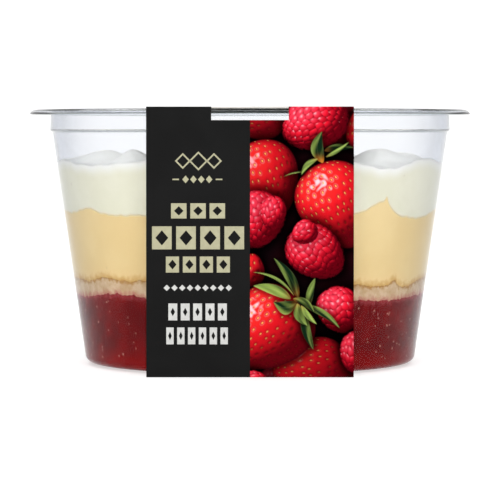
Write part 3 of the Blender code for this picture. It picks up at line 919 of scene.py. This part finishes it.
# Places are millimetres across from the panel's middle and up from its bottom fold; turn is the way
# the tip points, in degrees from +X; glow is how bright the berry is; cast is its shadow's strength
berries = [
    ("strawberry", {"at": (2.5, 75.6), "long": 8.0, "wide": 6.4, "turn": 190, "glow": 0.34}),
    ("raspberry", {"at": (25.6, 72.5), "long": 5.4, "wide": 5.2, "turn": 200, "glow": 0.42}),
    ("strawberry", {"at": (33.0, 73.0), "long": 7.4, "wide": 5.0, "turn": 80, "glow": 0.6}),
    ("raspberry", {"at": (18.6, 74.8), "long": 10.0, "wide": 8.4, "turn": 212, "glow": 1.0}),
    ("strawberry", {"at": (4.8, 57.9), "long": 11.7, "wide": 9.5, "turn": -74, "glow": 0.75}),
    ("strawberry", {"at": (25.0, 50.4), "long": 13.2, "wide": 10.8, "turn": -66, "glow": 1.0}),
    ("raspberry", {"at": (2.2, 46.4), "long": 8.5, "wide": 7.6, "turn": 255, "glow": 0.95}),
    ("raspberry", {"at": (6.6, 48.2), "long": 5.2, "wide": 3.8, "turn": 262, "glow": 0.8, "cast": 0.35}),
    ("raspberry", {"at": (19.0, 36.8), "long": 9.2, "wide": 7.6, "turn": -38, "glow": 0.84}),
    ("raspberry", {"at": (15.8, 42.6), "long": 4.0, "wide": 3.6, "turn": 215, "glow": 0.86, "cast": 0.35}),
    ("strawberry", {"at": (0.2, 31.6), "long": 5.0, "wide": 4.2, "turn": 80, "glow": 0.8}),
    ("strawberry", {"at": (17.6, 2.6), "long": 11.4, "wide": 8.9, "turn": 187, "glow": 0.44}),
    ("raspberry", {"at": (25.7, 19.9), "long": 7.0, "wide": 6.3, "turn": -70, "glow": 0.95}),
    ("raspberry", {"at": (30.8, 7.4), "long": 6.4, "wide": 4.9, "turn": 262, "glow": 0.62}),
    ("strawberry", {"at": (5.2, 14.0), "long": 13.6, "wide": 12.0, "turn": 226, "glow": 0.96}),
    ("raspberry", {"at": (1.4, -1.6), "long": 4.2, "wide": 3.6, "turn": 0, "glow": 0.7}),
    ("leaf", {"start": (21.4, 66.2), "end": (30.0, 67.2), "wide": 1.1, "bend": 0.5, "shade": -0.1}),
    ("leaf", {"start": (21.8, 64.4), "end": (28.6, 68.8), "wide": 0.6, "bend": -0.3, "shade": 0.7}),
    ("leaf", {"start": (20.9, 62.7), "end": (20.8, 71.8), "wide": 1.9, "bend": 1.5, "shade": 0.1,
              "warm": 0.75}),
    ("leaf", {"start": (16.2, 60.2), "end": (9.4, 58.6), "wide": 0.3, "bend": -0.5, "shade": 0.4}),
    ("leaf", {"start": (19.6, 64.0), "end": (14.8, 59.2), "wide": 0.85, "bend": -0.9, "shade": 0.6}),
    ("leaf", {"start": (14.0, 23.4), "end": (6.8, 35.2), "wide": 1.5, "bend": -1.1, "shade": 0.08}),
    ("leaf", {"start": (12.8, 24.0), "end": (0.4, 31.0), "wide": 0.5, "bend": -1.9, "shade": 0.66}),
    ("leaf", {"start": (11.8, 23.2), "end": (0.9, 27.0), "wide": 1.6, "bend": -0.9, "shade": 0.7}),
    ("leaf", {"start": (13.4, 22.0), "end": (6.8, 22.2), "wide": 2.1, "bend": 1.6, "shade": 0.2}),
    ("leaf", {"start": (16.9, 20.6), "end": (18.9, 29.4), "wide": 1.1, "bend": 0.5, "shade": 0.42}),
    ("leaf", {"start": (15.4, 19.4), "end": (18.4, 8.0), "wide": 1.4, "bend": -0.6, "shade": 0.04}),
    ("leaf", {"start": (15.2, 21.2), "end": (26.0, 14.4), "wide": 1.1, "bend": 1.2, "shade": 0.28}),
    ("leaf", {"start": (12.4, 23.2), "end": (18.6, 19.2), "wide": 1.2, "bend": 0.9, "shade": 0.2}),
    ("leaf", {"start": (13.6, 21.8), "end": (16.6, 15.2), "wide": 1.5, "bend": -0.9, "shade": 0.5}),
    ("leaf", {"start": (14.8, 21.2), "end": (19.4, 15.6), "wide": 0.9, "bend": -0.4, "shade": 0.75}),
]
berryTile = 79.5    # the layout starts again this far along the band, turned over

printTones = {
    "ground": {"dark": tone(10, 4, 6), "light": tone(34, 5, 12)},
    "strawberry": {"dark": tone(84, 4, 12), "ripe": tone(212, 22, 32), "bright": tone(228, 48, 40),
                   "rim": tone(30, 2, 8), "gleam": tone(250, 206, 214), "pitGleam": tone(250, 176, 180),
                   "darkSeed": tone(92, 18, 14), "brightSeed": tone(244, 178, 96)},
    "raspberry": {"dark": tone(84, 2, 12), "ripe": tone(208, 20, 40), "bright": tone(228, 60, 84),
                  "rim": tone(40, 2, 10), "gleam": tone(250, 178, 190)},
    "leaf": {"dark": tone(12, 34, 18), "light": tone(138, 162, 76), "rib": tone(182, 196, 130),
             "stem": tone(206, 122, 40)},
    "edge": tone(60, 8, 14),         # the ink sheet's sides and underside
}


def mix(first, second, share):
    # From the first colour to the second, by a share at each place
    first = np.asarray(first)
    return first + (np.asarray(second) - first) * share[..., None]


def smoothStep(value, low, high):
    share = np.clip((value - low) / (high - low), 0, 1)
    return share * share * (3 - 2 * share)


def scatterValue(row, col):
    # A steady value from 0 to 1 for each seed or drupelet, from the fraction of a large sine
    value = np.sin(row * 12.9898 + col * 78.233) * 43758.5453
    return value - np.floor(value)


def berryShape(u, h, spec, taper):
    # A point's place on an egg: p from -1 at the leaves to 1 at the tip, q across, z towards the viewer
    turn = math.radians(spec["turn"])
    away = np.stack([u - spec["at"][0], h - spec["at"][1]])
    axis = (math.cos(turn), math.sin(turn))
    p = (away[0] * axis[0] + away[1] * axis[1]) / spec["long"]
    q = (away[1] * axis[0] - away[0] * axis[1]) / (spec["wide"] * (1 - taper * np.clip(p, -1, 1)))
    z = np.sqrt(np.clip(1 - p * p - q * q, 0, 1))
    return p, q, z, axis


def cellsOn(p, q, z, spacing):
    # Staggered rows round the egg: each point's row and column, and its way from its cell's middle
    lat = np.arcsin(np.clip(p, -1, 1))
    lon = np.arctan2(q, z + 1e-6)
    row = np.round(lat / spacing)
    girth = np.maximum(1, np.round(math.tau * np.cos(row * spacing) / spacing))
    step = math.tau / girth
    shift = 0.5 * (row % 2)
    col = np.round(lon / step - shift)
    return row, col, lat - row * spacing, (lon - (col + shift) * step) * np.cos(lat)


def shadedNormal(p, q, z, axis):
    # The egg's way out at a place, turned from its own axis to across, up and out of the card
    return np.stack([p * axis[0] - q * axis[1], p * axis[1] + q * axis[0], z], -1)


def bentNormal(normal, down, side, axis, strength):
    # The normal tipped along the way from the cell's middle; below zero it tips towards the middle
    bent = normal.copy()
    bent[..., 0] += strength * (down * axis[0] - side * axis[1])
    bent[..., 1] += strength * (down * axis[1] + side * axis[0])
    return bent / np.linalg.norm(bent, axis=-1, keepdims=True)


def castShadow(colour, p, q, spec):
    # What lies under a berry darkens near its rim
    reach = 2.2 / spec["long"]
    out = np.clip((np.sqrt(p * p + q * q) - 1) / reach, 0, None)
    return colour * (1 - 0.8 * spec.get("cast", 1.0) * np.exp(-out ** 2))[..., None]


def paintStrawberry(colour, u, h, spec):
    # Red that follows the light over an egg, with seeds in dark pits and a gleam broken by the pits
    p, q, z, axis = berryShape(u, h, spec, 0.24)
    colour = castShadow(colour, p, q, spec)
    cover = smoothStep((1 - np.sqrt(p * p + q * q)) * spec["wide"], 0, 0.25)
    spacing = 2.65 / spec["long"]
    row, col, down, side = cellsOn(p, q, z, spacing)
    down = down + (scatterValue(row, col) - 0.5) * spacing * 0.4
    side = side + (scatterValue(col, row + 3) - 0.5) * spacing * 0.4
    normal = shadedNormal(p, q, z, axis)
    away = np.hypot(down / 0.62, side / 0.5) * spec["long"]      # from the seed's middle, in millimetres
    pit = np.exp(-(away / 1.2) ** 2)
    bent = bentNormal(normal, down, side, axis, -6.5 * pit)
    lit = np.clip(bent @ berryLight, 0, 1)
    glow = spec["glow"]
    tones = printTones["strawberry"]
    red = mix(tones["dark"], tones["ripe"], smoothStep(lit, 0.15, 0.95) * glow)
    red = mix(red, tones["bright"], smoothStep(lit, 0.75, 1.0) * 0.6 * glow)
    red = mix(red, tones["rim"], smoothStep(z, 0.6, 0.0) * 0.8)
    red = red * (1 - 0.42 * pit[..., None])
    patch = np.sin(1.9 * u + np.sin(1.3 * h) * 1.4) * np.sin(1.6 * h + np.sin(1.1 * u) * 1.5)
    gleam = np.clip(bent @ berryGleam, 0, 1) ** 16 * (0.75 + 0.4 * patch)
    red = mix(red, tones["gleam"], smoothStep(gleam, 0.42, 0.98) * 0.85 * glow ** 2)
    rim = np.exp(-((away - 1.25) / 0.3) ** 2) * np.clip(bent @ berryGleam, 0, 1) ** 14
    red = mix(red, tones["pitGleam"], rim * 0.6 * glow ** 2)
    seed = smoothStep(np.hypot(down / 0.85, side / 0.5) * spec["long"], 0.6, 0.3)
    litSeed = smoothStep(normal @ berryLight, 0.4, 0.95) * glow
    gold = mix(tones["darkSeed"], tones["brightSeed"], litSeed)
    red = mix(red, gold, seed * smoothStep(z, 0.05, 0.3) * 0.9)
    return mix(colour, red, cover)


def paintRaspberry(colour, u, h, spec):
    # A bunch of small domes over an egg: each dome bends the light, with dark gaps and a pale gleam
    p, q, z, axis = berryShape(u, h, spec, 0.16)
    colour = castShadow(colour, p, q, spec)
    spacing = 2.25 / spec["long"]
    bulge = 0.25 * spacing * np.sin(7 * q + 3 * p)
    row, col, down, side = cellsOn(p + bulge, q, z, spacing)
    side = side + (scatterValue(row, col) - 0.5) * spacing * 0.22
    dome = np.hypot(down, side) / (spacing * 0.58)
    edge = np.sqrt(p * p + q * q) + 0.06 * np.clip(dome, 0, 1) ** 2
    cover = smoothStep((1.03 - edge) * spec["wide"], 0, 0.25)
    normal = shadedNormal(p, q, z, axis)
    bent = bentNormal(normal, down, side, axis, 1.3 / spacing)
    lit = np.clip(0.4 * bent @ berryLight + 0.7 * normal @ berryLight, 0, 1)
    glow = spec["glow"]
    ripe = 0.75 + 0.5 * scatterValue(row, col + 5)
    tones = printTones["raspberry"]
    pink = mix(tones["dark"], tones["ripe"], np.clip(smoothStep(lit, 0.15, 0.9) * glow * ripe, 0, 1))
    pink = mix(pink, tones["bright"], smoothStep(lit, 0.66, 1.0) * 0.6 * glow)
    pink = pink * (1 - 0.42 * smoothStep(dome, 0.7, 1.15))[..., None]
    rimShade = smoothStep(z, 0.55, 0.0) * 0.75 * spec.get("cast", 1.0)
    pink = mix(pink, tones["rim"], rimShade)
    gleam = np.clip(bent @ berryGleam, 0, 1) ** 40 * (0.3 + 0.7 * scatterValue(row + 2, col))
    pink = mix(pink, tones["gleam"], np.clip(gleam, 0, 1) * 0.75 * glow)
    return mix(colour, pink, cover)


def paintLeaf(colour, u, h, spec):
    # A pointed blade along a bowed line: green, lighter on one side, with a pale rib and rim
    start, end = np.array(spec["start"]), np.array(spec["end"])
    length = np.linalg.norm(end - start)
    axis = (end - start) / length
    a = ((u - start[0]) * axis[0] + (h - start[1]) * axis[1]) / length
    b = (h - start[1]) * axis[0] - (u - start[0]) * axis[1] - spec["bend"] * 4 * a * (1 - a)
    span = np.clip(a, 0, 1)
    half = spec["wide"] * np.sin(math.pi * span ** 0.8) ** 0.75 + 1e-6
    cover = smoothStep(half - np.abs(b), 0, 0.22) * ((a > 0) & (a < 1))
    inside = smoothStep(a, -0.1, 0.1) * smoothStep(a, 1.1, 0.9)
    shadow = np.exp(-(np.clip(np.abs(b) - half, 0, None) / 1.2) ** 2) * inside
    colour = colour * (1 - 0.6 * shadow)[..., None]
    across = b / half
    ripple = 0.22 * np.sin(7 * span + 4 * across + start[0])
    shade = spec["shade"] + 0.3 * across + 0.2 * (span - 0.5) + ripple
    tones = printTones["leaf"]
    green = mix(tones["dark"], tones["light"], np.clip(shade, 0, 1))
    rim = 0.5 * smoothStep(np.abs(across), 0.7, 0.95) + 0.3 * np.exp(-(b / 0.16) ** 2)
    green = mix(green, tones["rib"], rim * np.clip(0.15 + 0.5 * shade, 0, 1))
    green = mix(green, tones["stem"], np.exp(-(span / 0.17) ** 2) * spec.get("warm", 0.25))
    return mix(colour, green, cover)


painters = {"strawberry": paintStrawberry, "raspberry": paintRaspberry, "leaf": paintLeaf}


def movedSpec(spec, copy):
    # The layout's next copy along the band: shifted by whole tiles, and odd copies turned over
    made = dict(spec)
    for key in ("at", "start", "end"):
        if key in spec:
            across, height = spec[key]
            if copy % 2:
                across = 30.0 - across
            made[key] = (across, height + copy * berryTile)
    if copy % 2 and "turn" in spec:
        made["turn"] = 180 - spec["turn"]
    if copy % 2 and "bend" in spec:
        made["bend"] = -spec["bend"]
    return made


def paintField(u, h):
    # The dark ground first, then every berry and leaf near the field, each over the last; the front's
    # own copy of the layout comes last
    ground = 0.5 + 0.5 * np.sin(u / 3.1 + np.sin(h / 4.3)) * np.sin(h / 3.7 + 1.2)
    colour = mix(printTones["ground"]["dark"], printTones["ground"]["light"], ground ** 2)
    for copy in (4, 3, 2, 1, -1, 0):
        for kind, spec in berries:
            placed = movedSpec(spec, copy)
            middle = placed["at"][1] if "at" in placed else placed["start"][1]
            if h.min() - 20 < middle < h.max() + 20:
                colour = painters[kind](colour, u, h, placed)
    return colour


def berryPrint():
    # Ink that takes its colour from the worked-out field, on the same fibres as the black print
    material, tree, shader = newMaterial("berryPrint", printTones["strawberry"]["ripe"], 0.55,
                                         Specular_IOR_Level=0.0)
    ink = addNode(tree, "ShaderNodeAttribute", attribute_name="ink").outputs["Color"]
    fibre = noiseOver(tree, placeOn(tree), 900.0, 3.0)
    tree.links.new(ink, shader.inputs["Base Color"])
    tree.links.new(remap(tree, fibre, 0.3, 0.7, 0.36, 0.46), shader.inputs["Roughness"])
    return material


berryFinish = berryPrint()


def makeBerryField(name, leftEdge, fromAlong, toAlong, step):
    # A thin closed sheet on the card from the left edge to the card's own edge: a fine grid on top with
    # its colour worked out at every point, long strips beneath, and walls round the rim
    right = sleeve["printWidth"] / 2
    cols = max(2, int(round((right - leftEdge) / step)) + 1)
    rows = max(2, int(round((toAlong - fromAlong) / step)) + 1)
    u, s = np.meshgrid(np.linspace(leftEdge, right, cols), np.linspace(fromAlong, toAlong, rows))
    ink = paintField(u / mm, (s - frontStart) / panelSlope / mm)
    top = bandPoints(u, s, marks["thickness"]).reshape(-1, 3)
    low = bandPoints(u, s, -0.5 * marks["thickness"])
    rim = np.concatenate([low[:, 0], low[:, -1], low[0, 1:-1], low[-1, 1:-1]])
    base = rows * cols
    leftLow, rightLow = base + np.arange(rows), base + rows + np.arange(rows)
    firstLow = np.concatenate([[leftLow[0]], base + 2 * rows + np.arange(cols - 2), [rightLow[0]]])
    lastLow = np.concatenate([[leftLow[-1]], base + 2 * rows + cols - 2 + np.arange(cols - 2),
                              [rightLow[-1]]])
    leftTop, rightTop = np.arange(rows) * cols, np.arange(rows) * cols + cols - 1
    firstTop, lastTop = np.arange(cols), (rows - 1) * cols + np.arange(cols)

    def wall(high, under):
        return np.stack([high[:-1], high[1:], under[1:], under[:-1]], 1).tolist()

    faces = gridQuads(rows, cols)[:, ::-1].tolist()
    faces += wall(leftTop, leftLow) + wall(rightTop[::-1], rightLow[::-1])
    faces += wall(firstTop[::-1], firstLow[::-1]) + wall(lastTop, lastLow)
    under = np.stack([leftLow[:-1], leftLow[1:], rightLow[1:], rightLow[:-1]], 1)[1:-1]
    faces += under.tolist()
    faces.append([*firstLow[::-1], leftLow[1], rightLow[1]][::-1])
    faces.append([*lastLow, rightLow[-2], leftLow[-2]][::-1])
    colours = np.ones((len(top) + len(rim), 4))
    colours[:len(top), :3] = ink.reshape(-1, 3)
    colours[len(top):, :3] = printTones["edge"]
    piece = addPiece(name, np.vstack([top, rim]), faces, {"ink": colours})
    piece.data.materials.append(berryFinish)
    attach(piece, "root")
    print(name, "made:", rows, "by", cols)


whole = bandAlong[-1]
slotEdge = sleeve["slotHalf"]
lowEnd = frontStart - 0.5 * mm
fineStep, plainStep = 0.17 * mm, 0.24 * mm
makeBerryField("berriesFront", 0.0, lowEnd, slotStart, fineStep)
makeBerryField("berriesFrontFold", slotEdge, slotStart, slotEnd, fineStep)
makeBerryField("berriesTop", 0.0, slotEnd, whole - slotEnd, plainStep)
makeBerryField("berriesBackFold", sleeve["backSlotHalf"], whole - slotEnd, whole - slotStart, plainStep)
makeBerryField("berriesBack", 0.0, whole - slotStart, whole - lowEnd, plainStep)


# ---- floor, light and camera

studio = {
    "ground": (tone(200, 200, 200), tone(204, 204, 204)),
    "skyLight": 0.3,
    "groundGlow": 0.6,
    "eyeDistance": 854.5 * mm,
    "eyeHeight": 72.0 * mm,
    "aimHeight": 35.15 * mm,
    "viewAngle": 10.38,              # degrees across the picture
    "softboxes": [                   # name, place, width and length, watts, the point it faces
        ("topBox", (0, 0.1, 1.5), (2.0, 2.0), 16, (0, 0, 0.04)),
        ("backBox", (0, 0.9, 1.4), (2.0, 0.6), 4, (0, 2.4, 0.4)),
        ("frontBox", (0, -1.9, 0.8), (1.4, 0.7), 32, (0, 0, 0.04)),
        ("leftBox", (-1.1, -0.5, 0.35), (0.5, 0.6), 0.3, (0, 0, 0.04)),
        ("rightBox", (1.1, -0.5, 0.35), (0.5, 0.6), 0.2, (0, 0, 0.04)),
    ],
}


def makeFloor():
    # A flat sweep that curves up behind: flat, a quarter round, then upright
    turn = np.linspace(0, math.pi / 2, 24)
    depth = np.concatenate([[-4.0], 1.6 + 0.8 * np.sin(turn), [2.4]])
    height = np.concatenate([[0.0], 0.8 - 0.8 * np.cos(turn), [3.2]])
    across = np.linspace(-3.5, 3.5, 8)
    x, y = np.meshgrid(across, depth)
    z = np.repeat(height[:, None], len(across), 1)
    faces = gridQuads(len(depth), len(across))[:, ::-1].tolist()
    piece = addPiece("floor", np.stack([x, y, z], -1).reshape(-1, 3), faces)
    material, tree, shader = newMaterial("paleFloor", studio["ground"][0], 0.8, Specular_IOR_Level=0.0,
                                         Emission_Color=(1, 1, 1, 1),
                                         Emission_Strength=studio["groundGlow"])
    patch = noiseOver(tree, placeOn(tree), 3.0)
    tree.links.new(mixColours(tree, patch, *studio["ground"]), shader.inputs["Base Color"])
    piece.data.materials.append(material)


def addSoftbox(name, place, size, power, aim):
    # A rectangular light at a place, turned to face its aim
    light = bpy.data.lights.new(name, "AREA")
    light.shape = "RECTANGLE"
    light.size, light.size_y = size
    light.energy = power
    made = bpy.data.objects.new(name, light)
    bpy.context.scene.collection.objects.link(made)
    made.location = place
    away = made.location.copy()
    for axis in range(3):
        away[axis] -= aim[axis]
    made.rotation_euler = away.to_track_quat("Z", "Y").to_euler()


def makeStudio():
    # The floor, an even white sky, the softboxes, and a camera set back and a little above the middle
    scene = bpy.context.scene
    makeFloor()
    world = bpy.data.worlds.new("studio")
    world.use_nodes = True
    world.node_tree.nodes["Background"].inputs["Color"].default_value = (1, 1, 1, 1)
    world.node_tree.nodes["Background"].inputs["Strength"].default_value = studio["skyLight"]
    scene.world = world
    for softbox in studio["softboxes"]:
        addSoftbox(*softbox)
    eye = bpy.data.cameras.new("eye")
    eye.lens = eye.sensor_width / 2 / math.tan(math.radians(studio["viewAngle"]) / 2)
    camera = bpy.data.objects.new("eye", eye)
    scene.collection.objects.link(camera)
    camera.location = (0, -studio["eyeDistance"], studio["eyeHeight"])
    pitch = math.atan2(studio["eyeHeight"] - studio["aimHeight"], studio["eyeDistance"])
    camera.rotation_euler = (math.pi / 2 - pitch, 0, 0)
    scene.camera = camera
    scene.view_settings.view_transform = "Standard"
    print("studio ready")


makeStudio()
